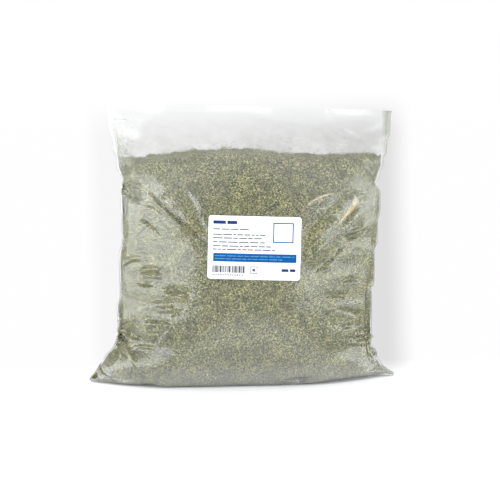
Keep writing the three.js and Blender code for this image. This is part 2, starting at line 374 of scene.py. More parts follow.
def film_settle(points, steps):
    """Lets the fill push the film against the mould, step by step, while its cells keep their size."""
    rows, columns, _ = points.shape
    half = columns // 2
    wide, tall = FLAT_WIDTH / half, FLAT_HEIGHT / (rows - 1)
    scale = (wide / FILM_CELL) ** 2
    taut = np.interp(points[..., 2].mean(1), mould.z, TAUT * mould.half_girth())
    taut = np.minimum(taut, FLAT_WIDTH)[:, None, None] / half
    across, face = tube_across(columns)
    mirror = (columns - np.arange(columns)) % columns
    welded = np.linspace(0, FLAT_HEIGHT, rows) > FLAT_HEIGHT - SEAL
    top = top_edge(across)
    ears = [np.array((end.x + x * MM, 0, z * MM)) for end, (x, z) in zip(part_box("film_bag"), EAR_TARGETS)]
    loose = 1 - gathered_rows(rows)
    speed = np.zeros_like(points)
    for _ in range(steps):
        sideways = np.roll(points, -1, 1) - np.roll(points, 1, 1)
        upwards = np.gradient(points, axis=0) * 2
        normal = np.cross(sideways, upwards) / (4 * wide * tall)
        filled = np.clip((PRESSED - points[..., 2:]) / PRESSED_FADE, 0, 1)
        speed += normal * (filled * PRESSURE + AIR) * scale
        speed[..., 2] -= WEIGHT * scale
        speed *= KEPT_SPEED
        before = points.copy()
        points += speed
        hold_cells(points, taut, tall)
        points[0] = (points[0] + points[0][mirror]) / 2
        points[0, :, 2] *= np.where(np.abs(across) < SEAM_REACH, SEAM_SINK, 1)
        points[welded] = (points[welded] + points[welded][:, mirror]) / 2
        points[-1] += (top - points[-1]) * TOP_HOLD
        for column, ear in zip((0, half), ears):
            points[0, column] += (ear - points[0, column]) * EAR_HOLD
        for side, fold in enumerate(mould.folds(points[:, [0, half], 2])):
            line = points[:, side * half, 0]
            line += (fold[:, side] - line) * FOLD_HOLD * loose
        hold_in_mould(points, face)
        speed = points - before
        speed[points[..., 2] < GRIPPED, :2] *= GRIP
    return points


def settled_film():
    points = film_start(*FILM_GRID)
    for finer, (steps, shake) in enumerate(SETTLING):
        points = film_refine(points) if finer else points
        points += rng.normal(0, shake, points.shape)
        points = film_settle(points, steps)
    return points


film_points = settled_film()

# ---- Folds of the film, as the bag stands ----

# On the front, in mm: x and z of both ends, bow, half width and depth, with ridges below zero.
# Then how far each end fades out, as a share of the length.
FRONT_FOLDS = [
    # a ridge from the upper left corner to the label
    (-114, 244.5, -93.5, 209, 0.5, 4, -1, 0.3, 0.1),
    (-96, 212, -34, 151, 0, 4.5, -2.6, 0.1, 0.4),
    (-91.5, 211, -32, 157.5, -1, 2.6, 3.4, 0.15, 0.2),
    (-59, 201.5, -32.5, 168, 1.5, 3, 1.4, 0.4, 0.2),
    (-57, 222.5, -33.5, 176.5, 4.5, 6, -1, 0.4, 0.3),
    (-111.5, 190, -78, 160, 3, 2.2, 1.4, 0.4, 0.5),
    (-120, 252, -36, 152, 0, 23, -5, 0.15, 0.35),
    # the pinch on the left side
    (-130.5, 216.5, -101.5, 216.5, 5, 2.6, 2.6, 0.05, 0.4),
    (-122, 216, -96, 210, 2, 3, -2, 0.3, 0.3),
    (-129.5, 215.5, -98.5, 205.5, -2.5, 2.8, 2.8, 0.05, 0.4),
    (-105.5, 201, -75.5, 186.5, 3.5, 2.8, 2.4, 0.3, 0.3),
    # short hollows and ridges down the left side
    (-129, 132, -103.5, 139.5, 5, 3.2, 2.6, 0.2, 0.4),
    (-113, 124, -80, 126.5, 5, 4, 2.6, 0.3, 0.3),
    (-111, 121, -78, 122, 1, 2.6, -1.6, 0.3, 0.4),
    (-113.5, 114, -91.5, 113, 1, 2.5, 2.4, 0.4, 0.4),
    (-86, 106, -51.5, 102, 5.5, 3, 2, 0.3, 0.2),
    (-87.5, 103.5, -55, 97.5, 0.5, 2.6, -1.3, 0.3, 0.2),
    (-104.5, 93, -65.5, 95.5, -1.5, 3, 1.2, 0.4, 0.3),
    (-97, 87.5, -67, 90, -2.5, 2.6, -1.2, 0.4, 0.2),
    (-76, 81.5, -62.5, 86, -1, 2.3, 1.6, 0.3, 0.3),
    (-114.5, 73.5, -71.5, 71.5, 3.5, 2, 1, 0.4, 0.2),
    (-110, 68.5, -72, 67.5, 2.5, 4, -1.6, 0.3, 0.2),
    (-73, 68.5, -90, 45.5, -0.5, 4, -1.5, 0.2, 0.3),
    # the pinch at the lower left
    (-139.5, 56.5, -122.5, 44.5, -1, 2.8, 3.6, 0.1, 0.4),
    (-136, 58, -118, 44.5, 3, 2.3, -2.4, 0.1, 0.4),
    (-130, 59.5, -103.5, 51, -0.5, 2.8, 3.2, 0.2, 0.4),
    (-121.5, 42, -89, 43.5, 2, 2.3, -1.8, 0.3, 0.3),
    (-139, 44, -131.5, 30, 0, 2.3, -1.8, 0.2, 0.5),
    (-126, 41.5, -114, 21, 0.5, 2.3, -1.8, 0.3, 0.4),
    (-162.5, 17, -156, -1.5, 1, 2.3, -1.6, 0.2, 0.3),
    # long folds on the right
    (134.5, 191.5, 109.5, 163.5, 0.5, 6.5, -1.3, 0.3, 0.1),
    (109.5, 166.5, 67, 131.5, -1, 7, -1.3, 0.1, 0.4),
    (113.5, 154.5, 75.5, 121.5, 0.5, 5.5, 1.3, 0.2, 0.4),
    (130, 196, 104.5, 170.5, 0.5, 3.6, 1.4, 0.2, 0.3),
    (85.5, 192.5, 107, 182.5, -6, 2.6, 2.8, 0.3, 0.3),
    (72.5, 196.5, 107.5, 208, 3, 2.6, -1.8, 0.3, 0.3),
    (140, 207, 64, 128, 0, 20, -3.5, 0.2, 0.35),
    # short hollows and ridges down the right side
    (117, 169.5, 141, 174.5, 2.5, 2.5, 2.4, 0.3, 0.3),
    (106, 163.5, 141, 170, -1, 2.2, -2.4, 0.2, 0.3),
    (110.5, 159, 140, 168, -2.5, 3, 3, 0.3, 0.2),
    (121, 144.5, 135, 140, 1.5, 2.3, 1.6, 0.4, 0.4),
    (107, 110, 134.5, 109, 4.5, 2.7, 2.6, 0.3, 0.4),
    (87, 97, 119.5, 93, 3, 3, 2.8, 0.3, 0.3),
    (101, 83, 132, 69, 2.5, 2.9, 2.8, 0.3, 0.3),
    (92, 65, 107.5, 65.5, 3.5, 2.4, 2.2, 0.3, 0.3),
    (105, 60.5, 125, 61, 1.5, 2.2, 2.2, 0.3, 0.3),
    # the pinch at the lower right
    (121, 51.5, 144.5, 51, 3, 2.3, 2.8, 0.3, 0.1),
    (122.5, 49, 144.5, 45.5, -1.5, 2.3, 2.8, 0.3, 0.1),
    (116.5, 45.5, 123.5, 49, 0, 2.2, 3.2, 0.3, 0.3),
    (112, 49.5, 114, 40.5, -1, 2.3, -1.6, 0.3, 0.3),
    (114, 41.5, 143, 38, 1.5, 2.3, -1.8, 0.3, 0.3),
    (149, 41, 147.5, 23, -0.5, 2.3, -1.8, 0.3, 0.3),
]
BACK_FOLDS, BACK_SUM, BACK_DROP = FRONT_FOLDS[2:], 14, 12  # mirrored on the back: sum of both x, and drop

EASED_ROWS = (12, 48), (158, 188)  # above the base and the upper pinches, where tucks are eased
EASED_EDGE, EASED_ACROSS = 6, ((0.45, 0.6), (1, 0.94))  # rows and places across over which that fades
FOLDS_OUT = 62 * MM, 48 * MM  # height where the side folds come out to the mould's, and where in full
FOLDS_FROM, FOLDS_EVEN = 0.3, 3  # how far across that sets in, and rows on each side that even it
EAR_SHORT = 0.5 * MM  # lower corners to the solid's ends
EAR_FROM, EAR_UP = 0.88, 12 * MM  # how far across and up the film is drawn out with them
LABEL_SEAT, LABEL_LIFT = 14 * MM, 0.35 * MM  # width of film round it that is flat too, and its gap


def film_normals(points):
    sideways = np.roll(points, -1, 1) - np.roll(points, 1, 1)
    normal = np.cross(sideways, np.gradient(points, axis=0))
    return normal / (np.linalg.norm(normal, axis=-1, keepdims=True) + 1e-12)


def fold_relief(x, z, folds):
    """Depth of a list of folds, in metres, at places in mm."""
    depth = np.zeros(x.shape)
    for x0, z0, x1, z1, bow, width, deep, fade0, fade1 in folds:
        length = math.hypot(x1 - x0, z1 - z0)
        ahead = np.array([x1 - x0, z1 - z0]) / length
        along = ((x - x0) * ahead[0] + (z - z0) * ahead[1]) / length
        aside = (z - z0) * ahead[0] - (x - x0) * ahead[1] - bow * 4 * along * (1 - along)
        taper = smooth(0, fade0, along) * smooth(1, 1 - fade1, along)
        shape = np.clip(1 - (aside / (width * (0.5 + 0.5 * taper))) ** 2, 0, 1) ** 1.5
        depth += deep * shape * taper
    return depth * MM


def label_frame(x, z):
    """Place on the label's own axes, right and up from its middle."""
    x, z = x - LABEL_X, z - LABEL_Z
    return x * LABEL_COS + z * LABEL_SIN, z * LABEL_COS - x * LABEL_SIN


seat_grid = calm(mould.front, 14)


def label_seat(x, z):
    """y of the flat place on the front where the label sits."""
    return mould.at(seat_grid, x, z)


def ease(points, share, passes):
    """Moves all rows but the first and last by a share towards their neighbours' middle."""
    for _ in range(passes):
        inner = points[1:-1]
        around = points[:-2] + points[2:] + np.roll(inner, 1, 1) + np.roll(inner, -1, 1)
        points[1:-1] += share * (around / 4 - inner)


def ease_tucks(points, across):
    beside = math.prod(smooth(*ends, np.abs(across)) for ends in EASED_ACROSS)
    row = np.arange(len(points))[:, None]
    for first, last in EASED_ROWS:
        share = beside * smooth(first - EASED_EDGE, first + EASED_EDGE, row)
        share = share * smooth(last + EASED_EDGE, last - EASED_EDGE, row)
        ease(points, 0.45 * share[1:-1, :, None], 80)


def reach_out(points, across):
    """Brings the low part of the side folds and the lower corners out to the solid's."""
    columns = 0, points.shape[1] // 2
    window = np.ones(2 * FOLDS_EVEN + 1) / (2 * FOLDS_EVEN + 1)
    for side, column in zip((-1, 1), columns):
        fold = points[:, column]
        gap = mould.folds(fold[:, 2])[side > 0] - fold[:, 0]
        gap = np.convolve(np.pad(gap, FOLDS_EVEN, "edge"), window, "valid") * smooth(*FOLDS_OUT, fold[:, 2])
        points[..., 0] += gap[:, None] * smooth(FOLDS_FROM, 1, side * across)
    for side, column, end in zip((-1, 1), columns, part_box("film_bag")):
        gap = end.x - side * EAR_SHORT - points[0, column, 0]
        points[..., 0] += gap * smooth(EAR_FROM, 1, side * across) * smooth(EAR_UP, 0, points[..., 2])


def finished_film(points):
    points = film_refine(points)
    ease(points, 0.5, 2)
    across, face = tube_across(points.shape[1])
    ease_tucks(points, across)
    reach_out(points, across)
    x, z = points[..., 0] / MM, points[..., 2] / MM
    relief = fold_relief(x, z, FRONT_FOLDS) * (face < 0)
    relief += fold_relief(-x + BACK_SUM, z + BACK_DROP, BACK_FOLDS) * (face > 0)
    points = points - film_normals(points) * relief[..., None]
    places = zip(label_frame(points[..., 0], points[..., 2]), LABEL_SIZE)
    beyond = [np.clip(np.abs(place) - size / 2, 0, None) for place, size in places]
    flat = smooth(LABEL_SEAT, 0, np.hypot(*beyond)) * (face < 0)
    points[..., 1] += (label_seat(points[..., 0], points[..., 2]) - points[..., 1]) * flat
    return points


film_points = finished_film(film_points)
film_out = film_normals(film_points)
FILM_ROWS, FILM_COLUMNS = film_points.shape[:2]
HALF = FILM_COLUMNS // 2


def on_film(row, column):
    """Points and outward directions of the film at fractional rows and columns."""
    return between(film_points, row, column, True), between(film_out, row, column, True)


def film_piece():
    film = placed("film", [(film_points, grid_faces(FILM_ROWS, FILM_COLUMNS, True))], film_material())
    weld(film, 0.02 * MM)
    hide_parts("film_bag")


# ---- The dried dill ----

FILL_LINE = [  # x and height in mm of the loose top of the dill
    (-150, 249), (-130, 249.5), (-100, 251), (-45, 257.5), (0, 258),
    (22, 255.5), (65, 251), (100, 249), (130, 250), (160, 246.5),
]
FILL_SEARCH = 0.6  # share of the film's rows below it
TOP_WANDER = (7, 1.0, 5), (2, 0.7, 8)  # its unevenness: cell in columns, size in rows and seed
DILL_ROWS, DILL_COLUMNS, DILL_TOP_ROWS = 170, 180, 26
DILL_FIRST_ROW = 1.5  # of the film's rows
DILL_INSET, TOP_INSET, TOP_ROUNDING = 1.25 * MM, 0.8 * MM, 0.985  # the top's inset grows from that share up
HEAP, HEAP_ROUGH, HEAP_SWELL = 1.2, 0.35, 0.5  # height in mm of the heaped top, and its unevenness
HEAP_SLOPE = 5 * MM  # how much lower the top's front edge is
# Height, and how far apart the film's faces must be there to hold dill
DILL_GAP = (5 * MM, 2.6 * MM), (20 * MM, 4.2 * MM), (60 * MM, 7 * MM)
EDGE_REACH = 7  # rows on each side that even the dill's side edges


def dill_edges():
    """First and last column of every row of the film between which there is dill."""
    front = film_points[:, : HALF + 1]
    back = film_points[:, (FILM_COLUMNS - np.arange(HALF + 1)) % FILM_COLUMNS]
    gap = np.linalg.norm(front - back, axis=-1)
    needed = np.interp(front[..., 2].mean(1), *zip(*DILL_GAP))
    edges = np.zeros((2, FILM_ROWS))
    for row in range(FILM_ROWS):
        held = np.flatnonzero(gap[row] > min(needed[row], gap[row].max() / 2))
        edges[:, row] = (held[0], held[-1]) if len(held) else HALF / 2
    near = [slice(max(0, row - EDGE_REACH), row + EDGE_REACH + 1) for row in range(FILM_ROWS)]
    return [np.array([edge[rows].mean() for rows in near]) for edge in edges]


def dill_column(row, across, face):
    """Column of the film at a place across the dill, 0 at its left and 1 at its right."""
    left, right = (np.interp(row, np.arange(FILM_ROWS), edge) for edge in dill_sides)
    column = left + (right - left) * across
    return column if face < 0 else FILM_COLUMNS - column


def wander(count, cell, seed):
    """Smooth random values between -1 and 1."""
    draw = np.random.default_rng(seed).uniform(-1, 1, int(count / cell) + 3)
    return np.interp(np.arange(count) / cell, np.arange(len(draw)), draw)


def dill_top_row(face):
    """Row of the film where the dill ends, by place across."""
    line = np.array(FILL_LINE) * MM - (0, HEAP_SLOPE * (face < 0))
    rows = np.arange(int(FILM_ROWS * FILL_SEARCH), FILM_ROWS)
    top = np.zeros(DILL_COLUMNS)
    for i, share in enumerate(dill_across):
        points, _ = on_film(rows.astype(float), dill_column(rows, share, face))
        over = points[:, 2] - np.interp(points[:, 0], line[:, 0], line[:, 1])
        top[i] = np.interp(0, over, rows)
    for cell, size, seed in TOP_WANDER:
        top = top + wander(DILL_COLUMNS, cell, seed + face) * size
    return top


dill_sides = dill_edges()
dill_across = np.linspace(0, 1, DILL_COLUMNS)
dill_tops = {face: dill_top_row(face) for face in (-1, 1)}


def dill_place(up, across, face):
    """Fractional row and column of the film beside a place on the dill's front or back."""
    top = np.interp(across, dill_across, dill_tops[face])
    row = DILL_FIRST_ROW + (top - DILL_FIRST_ROW) * up
    return row, dill_column(row, across, face)


def dill_surface(up, across, face, inset):
    points, out = on_film(*dill_place(up, across, face))
    return points - out * np.asarray(inset)[..., None]


def dill_top(front, back):
    """Rows of the loose top from its front edge to its back edge."""
    share = np.linspace(0, 1, DILL_TOP_ROWS)[:, None]
    size = (DILL_TOP_ROWS, DILL_COLUMNS)
    rough = np.random.default_rng(31).normal(0, 1, size)
    swell = calm(np.random.default_rng(32).normal(0, 6, size), 12)
    top = front * (1 - share[..., None]) + back * share[..., None]
    top[..., 2] += np.sin(np.pi * share) * (HEAP + HEAP_ROUGH * rough + HEAP_SWELL * swell) * MM
    return top


def dill_piece():
    up = np.linspace(0, 1, DILL_ROWS)[:, None] * np.ones(DILL_COLUMNS)
    across = np.ones(DILL_ROWS)[:, None] * dill_across
    inset = DILL_INSET + TOP_INSET * smooth(TOP_ROUNDING, 1, up)
    front, back = (dill_surface(up, across, face, inset) for face in (-1, 1))
    top = dill_top(front[-1], back[-1])
    ring = np.concatenate([front, back[:, ::-1]], axis=1)
    parts = [
        (ring, grid_faces(*ring.shape[:2], True)),
        (top, grid_faces(*top.shape[:2])),
        (np.stack([front[0], back[0]]), grid_faces(2, DILL_COLUMNS)[:, ::-1]),
    ]
    dill = placed("dill", parts, dill_material())
    weld(dill, 0.01 * MM)
    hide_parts("dill_fill")


# Loose leaf tips against the film: piece name, colour, number
TIPS = {
    "dill_tips_green": ((0.115, 0.2, 0.036), 45000),
    "dill_tips_dark": ((0.01, 0.015, 0.004), 45000),
    "dill_tips_straw": ((0.5, 0.4, 0.24), 36000),
}
TIPS_PER_CREST = 12  # one more tip lies on the loose top for so many against the film
TIP_LENGTH, TIP_WIDTH = (0.6 * MM, 1.3 * MM), (0.32 * MM, 0.6 * MM)
TIP_THICK = 0.1 * MM, 0.08 * MM  # above and below its middle
# How far tips, those on the loose top and crumbs are out from there, in mm, and how much they stand on end
TIP_OUT, CREST_OUT, CRUMB_OUT = (-1.15, -0.5), (0, 1.2), (-0.7, -0.4)
TIP_ON_END, CREST_ON_END, CRUMB_ON_END = 0.08, 0.6, 0.05
CREST_HEAP, CREST_ROUGH = 2.2, 0.4  # mm


def slivers(centre, out, reach, draw, on_end):
    """Closed four-sided slivers that lie nearly flat, within a reach from a surface that faces out."""
    count = len(centre)
    lift = draw.uniform(*reach, count) * MM
    turn = draw.uniform(0, 2 * np.pi, count)[:, None]
    aside = np.cross(out, [0.3, 0.1, 1.0])
    aside /= np.linalg.norm(aside, axis=1, keepdims=True) + 1e-9
    above = np.cross(aside, out)
    ahead = aside * np.cos(turn) + above * np.sin(turn) + out * draw.normal(0, on_end, count)[:, None]
    ahead /= np.linalg.norm(ahead, axis=1, keepdims=True)
    wide = np.cross(out, ahead)
    length = draw.uniform(*TIP_LENGTH, count)[:, None] * draw.uniform(0.5, 1, count)[:, None]
    width = draw.uniform(*TIP_WIDTH, count)[:, None]
    middle = centre + out * lift[:, None]
    corners = [
        middle - ahead * length / 2,
        middle + ahead * length / 2,
        middle + wide * width / 2 + out * TIP_THICK[0],
        middle - wide * width / 2 - out * TIP_THICK[1],
    ]
    points = np.stack(corners, 1).reshape(-1, 3)
    first = 4 * np.arange(count)[:, None]
    faces = np.concatenate([first + corner for corner in ([0, 3, 2], [1, 2, 3], [0, 2, 1], [0, 1, 3])])
    return points, faces


def tip_places(count, draw):
    """Centres and outward directions over the dill's front and back."""
    face = draw.integers(0, 2, count) * 2 - 1
    up, across = draw.uniform(0, 1, count), draw.uniform(0.004, 0.996, count)
    centre, out = np.zeros((count, 3)), np.zeros((count, 3))
    for side in (-1, 1):
        at = face == side
        centre[at], out[at] = on_film(*dill_place(up[at], across[at], side))
    return centre, out


def crest_places(count, draw):
    """Centres on the loose top, and up for each."""
    across, share = draw.uniform(0.02, 0.98, count), draw.uniform(0.03, 0.97, count)[:, None]
    inset = np.full(count, DILL_INSET + TOP_INSET)
    ends = [dill_surface(np.ones(count), across, face, inset) for face in (-1, 1)]
    centre = ends[0] * (1 - share) + ends[1] * share
    centre[:, 2] += (CREST_HEAP * np.sin(np.pi * share[:, 0]) + draw.normal(0, CREST_ROUGH, count)) * MM
    return centre, np.tile([0.0, 0.0, 1.0], (count, 1))


def leaf_piece(name, colour, parts, soft=False):
    placed(name, parts, leaf_material(name, colour), soft)


def tip_pieces():
    for seed, (name, (colour, count)) in enumerate(TIPS.items(), 100):
        draw = np.random.default_rng(seed)
        against = slivers(*tip_places(count, draw), TIP_OUT, draw, TIP_ON_END)
        above = slivers(*crest_places(count // TIPS_PER_CREST, draw), CREST_OUT, draw, CREST_ON_END)
        leaf_piece(name, colour, [against, above])


# Crumbs on the film above the dill: middle across, half width, height above it in mm, number on each face
CRUMBS = [
    (0.03, 0.05, 44, 800), (0.42, 0.05, 10, 260), (0.30, 0.02, 7, 60), (0.58, 0.09, 26, 160),
    (0.64, 0.03, 24, 240), (0.88, 0.12, 22, 420), (0.2, 0.2, 8, 100), (0.5, 0.5, 40, 90),
]
CRUMB_COLOUR = (0.19, 0.19, 0.09)


def crumb_piece():
    draw = np.random.default_rng(77)
    spots = []
    for middle, reach, height, count in CRUMBS:
        for side in (-1, 1):
            across = np.clip(middle + reach * draw.normal(0, 0.6, count), 0.01, 0.99)
            row, column = dill_place(np.ones(count), across, side)
            row = row + draw.exponential(0.35, count).clip(0, 1) * (height * MM) / (FLAT_HEIGHT / FILM_ROWS)
            spots.append(on_film(row, column))
    centre, out = (np.concatenate(part) for part in zip(*spots))
    leaf_piece("dill_crumbs", CRUMB_COLOUR, [slivers(centre, out, CRUMB_OUT, draw, CRUMB_ON_END)])


STALKS = [  # x and z in mm along each pale stalk that lies against the front, and its half width in mm
    ([(74, 196), (90, 205), (109, 208.5)], 1.9),
    ([(126, 204.5), (126, 195), (117.5, 184.5), (103, 170)], 5.5),
]
STALK_COLOUR = (0.38, 0.315, 0.17)
STALK_PLACES = 24  # along it
STALK_THICK, STALK_DEPTH = 0.1 * MM, 0.45 * MM  # half its thickness, and how far it is behind the film
STALK_NEAR = 1.5 * MM  # reach of the film it is laid against


def under_front(x, z):
    """y just inside the front of the film."""
    front = film_points[:, 1:HALF].reshape(-1, 3)
    near = np.exp(-((front[:, 0] - x) ** 2 + (front[:, 2] - z) ** 2) / (2 * STALK_NEAR**2))
    return near @ front[:, 1] / near.sum() + STALK_DEPTH


def stalk(places, width):
    """Points round a stalk, left, front, right and back at each place, and its faces."""
    share = np.linspace(0, 1, STALK_PLACES)
    ends, degree = np.linspace(0, 1, len(places)), len(places) - 1
    x, z = (np.polyval(np.polyfit(ends, axis, degree), share) for axis in zip(*places))
    half = np.sin(np.pi * share) ** 0.6 + 0.05
    aside = np.column_stack([-np.gradient(z), np.gradient(x)])
    aside *= (half * width * (1 - 0.75 * share) / np.linalg.norm(aside, axis=1))[:, None]
    rows = []
    for cx, cz, (ax, az) in zip(x, z, aside):
        spots = [((cx + k * ax) * MM, (cz + k * az) * MM) for k in (-1, 0, 1)]
        left, (x1, y1, z1), right = ((px, under_front(px, pz), pz) for px, pz in spots)
        rows += [left, (x1, y1 - STALK_THICK, z1), right, (x1, y1 + STALK_THICK, z1)]
    last = 4 * (STALK_PLACES - 1)
    first = np.arange(0, last, 4)[:, None]
    sides = [first + (k, 4 + k, 4 + n, n) for k, n in ((0, 1), (1, 2), (2, 3), (3, 0))]
    return rows, np.concatenate([*sides, [(0, 1, 2, 3), (last + 3, last + 2, last + 1, last)]])


def stalk_piece():
    leaf_piece("dill_stalks", STALK_COLOUR, [stalk(*line) for line in STALKS], soft=True)


# ---- The paper label ----

LABEL_CORNER = 3 * MM
CORNER_LINES, EDGE_LINES = 6, 20  # lines of points across a corner and between two corners
PAPER = 0.12 * MM
PRINT_LIFT, PALE_LIFT = 0.05 * MM, 1.6  # print above the paper, and how much more for print on print
PRINT_CELL = 5 * MM


def label_points(u, v, lift):
    """Points over the label's seat from places on its own axes."""
    x, z = LABEL_X + u * LABEL_COS - v * LABEL_SIN, LABEL_Z + u * LABEL_SIN + v * LABEL_COS
    return np.stack([x, label_seat(x, z) - LABEL_LIFT - lift, z], -1)


def rounded(places):
    """The label's square corners drawn in to its corner radius."""
    inner = np.array(LABEL_SIZE)[:, None, None] / 2 - LABEL_CORNER
    over = np.clip(np.abs(places) - inner, 0, None) / LABEL_CORNER
    drawn = np.sign(places) * (inner + LABEL_CORNER * over * np.sqrt(1 - over[::-1] ** 2 / 2))
    return np.where(over.min(0) > 0, drawn, places)


def label_lines(size):
    near = np.linspace(size / 2 - LABEL_CORNER, size / 2, CORNER_LINES)
    return np.concatenate([-near[::-1], np.linspace(-near[0], near[0], EDGE_LINES)[1:-1], near])


def label_piece():
    u, v = rounded(np.stack(np.meshgrid(*(label_lines(size) for size in LABEL_SIZE))))
    rows, columns = u.shape
    front, back = label_points(u, v, PAPER), label_points(u, v, 0)
    index = np.arange(rows * columns).reshape(rows, columns)
    rim = np.concatenate([index[0], index[1:, -1], index[-1, -2::-1], index[-2:0:-1, 0]])
    ahead = np.roll(rim, -1)
    count = rows * columns
    quads, edge = grid_faces(rows, columns), np.stack([rim, rim + count, ahead + count, ahead], -1)
    faces = np.concatenate([quads, quads[:, ::-1] + count, edge])
    label = placed("label_paper", [(np.stack([front, back]), faces)], paper_material())
    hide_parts("label")


def words(u0, u1, v, height, draw, shortest=3.0, longest=10.5, space=1.1):
    """Bars that stand for a line of words, in mm: left, right, bottom and top of each."""
    bars = []
    while u0 < u1 - shortest / 2:
        end = min(u0 + draw.uniform(shortest, longest), u1)
        bars.append((u0, end, v - height / 2, v + height / 2))
        u0 = end + space
    return bars


def stripes(u0, u1, v0, v1, module, draw):
    """Upright stripes of one to three modules with gaps of one to three."""
    bars = []
    while u0 < u1:
        width = module * draw.choice([1, 2, 2, 3])
        bars.append((u0, min(u0 + width, u1), v0, v1))
        u0 += width + module * draw.choice([1, 1, 1, 2])
    return bars


def outline(u0, u1, v0, v1, line):
    return [(u0, u1, v1 - line, v1), (u0, u1, v0, v0 + line), (u0, u0 + line, v0, v1), (u1 - line, u1, v0, v1)]


INKS = {
    "ink_navy": (0.012, 0.03, 0.13),
    "ink_grey": (0.11, 0.115, 0.14),
    "ink_blue": (0.001, 0.075, 0.25),
    "ink_pale": (0.09, 0.24, 0.42),
    "ink_black": (0.02, 0.02, 0.03),
}
TEXT_LINES = (19.5, -5), (13.8, 11.5), (10.1, 10), (5.8, 11), (1.6, 17.5), (-2.0, 22)  # height and right end


def print_marks():
    """Printed bars by ink, in mm: heading, lines of words, write-on box, band, stripes and small square."""
    draw = np.random.default_rng(9)
    marks = {ink: [] for ink in INKS}
    marks["ink_navy"] += words(-44.5, -16, 26.8, 3.6, draw, 9, 14, 1.6)
    for v, end in TEXT_LINES:
        marks["ink_grey"] += words(-44.5, end, v, 1.35, draw)
    marks["ink_blue"] += outline(19.5, 41.5, 6.0, 27.5, 1.3)
    marks["ink_blue"].append((-43.8, 45.2, -15.0, -6.0))
    for v, end in (-8.9, 43.0), (-12.0, 30.0):
        marks["ink_pale"] += words(-42.0, end, v, 0.9, draw, 4, 12)
    marks["ink_black"] += stripes(-44.2, -9.2, -26.8, -19.4, 0.5, draw)
    marks["ink_grey"] += words(-43.4, -10, -29.2, 1.5, draw, 1.3, 1.7, 1.0)
    marks["ink_grey"] += outline(-3.8, 3.8, -27.4, -19.6, 0.8) + [(-1.6, 1.6, -25, -22)]
    marks["ink_navy"] += words(29.5, 46.5, -23.2, 3.0, draw, 6, 9, 1.4)
    return marks


def print_piece():
    """The print, a hair above the paper."""
    parts, inks = [], []
    for slot, (ink, bars) in enumerate(print_marks().items()):
        lift = PAPER + PRINT_LIFT * (PALE_LIFT if ink == "ink_pale" else 1)
        for u0, u1, v0, v1 in bars:
            lines = [
                np.linspace(low, high, int((high - low) * MM / PRINT_CELL) + 2) * MM
                for low, high in ((u0, u1), (v0, v1))
            ]
            u, v = np.meshgrid(*lines)
            parts.append((label_points(u, v, lift), grid_faces(*u.shape)))
            inks += [slot] * len(parts[-1][1])
    first, *others = (ink_material(name) for name in INKS)
    piece = placed("label_print", parts, first)
    for material in others:
        piece.data.materials.append(material)
    piece.data.polygons.foreach_set("material_index", inks)


# ---- Finishes ----


class Nodes:
    """The shader nodes of a material or world, with one call for each node."""

    def __init__(self, owner, place="Object"):
        owner.use_nodes = True
        self.owner, self.tree = owner, owner.node_tree
        self.tree.nodes.clear()
        self.place = self.add("TexCoord").outputs[place]

    def add(self, kind, inputs=None, **settings):
        """A node with its settings, and its inputs set to values or linked from sockets."""
        node = self.tree.nodes.new("ShaderNode" + kind)
        for key, value in settings.items():
            setattr(node, key, value)
        for key, value in (inputs or {}).items():
            if isinstance(value, bpy.types.NodeSocket):
                self.tree.links.new(value, node.inputs[key])
            else:
                node.inputs[key].default_value = value
        return node

    def math(self, operation, *values):
        return self.add("Math", dict(enumerate(values)), operation=operation).outputs[0]

    def fade(self, value, first, last, end=1.0, start=0.0, **settings):
        """start to end as the value goes from first to last."""
        inputs = {"Value": value, "From Min": first, "From Max": last, "To Min": start, "To Max": end}
        return self.add("MapRange", inputs, **settings).outputs[0]

    def noise(self, size, detail=2.0, rough=0.5):
        settings = {"Vector": self.place, "Scale": 1 / size, "Detail": detail, "Roughness": rough}
        return self.add("TexNoise", settings).outputs["Fac"]

    def ramp(self, value, *stops):
        """A colour for the value, from stops of a position and a colour or grey."""
        node = self.add("ValToRGB", {"Fac": value})
        ramp = node.color_ramp
        while len(ramp.elements) < len(stops):
            ramp.elements.new(0.5)
        for element, (position, colour) in zip(ramp.elements, stops):
            element.position = position
            element.color = (*np.broadcast_to(colour, 3), 1)
        return node.outputs["Color"]

    def bump(self, height, deep, strength=1.0, **normal):
        inputs = {"Height": height, "Distance": deep, "Strength": strength, **normal}
        return self.add("Bump", inputs).outputs["Normal"]

    def mottled(self, colour):
        """A colour that is darker and lighter in patches."""
        patches = self.ramp(self.noise(*PATCH_NOISE), *PATCH_TONES)
        inputs = {0: 1.0, 6: colour, 7: patches}
        return self.add("Mix", inputs, data_type="RGBA", blend_type="MULTIPLY").outputs[2]

    def shader(self, kind, colour, **inputs):
        return self.add("Bsdf" + kind, {"Color": colour, **inputs}).outputs[0]

    def principled(self, colour, rough, specular, **inputs):
        inputs = {"Base Color": colour, "Roughness": rough, "Specular IOR Level": specular, **inputs}
        return self.add("BsdfPrincipled", inputs).outputs[0]

    def mixed(self, share, first, second):
        return self.add("MixShader", {"Fac": share, 1: first, 2: second}).outputs[0]

    def out(self, surface, kind="Material"):
        self.add("Output" + kind, {"Surface": surface})
        return self.owner


PATCH_NOISE = 16 * MM, 5.0, 0.7  # size, detail and roughness
PATCH_TONES = (0.3, 0.52), (0.7, 1.38)


def finish(name):
    return Nodes(bpy.data.materials.new(name))


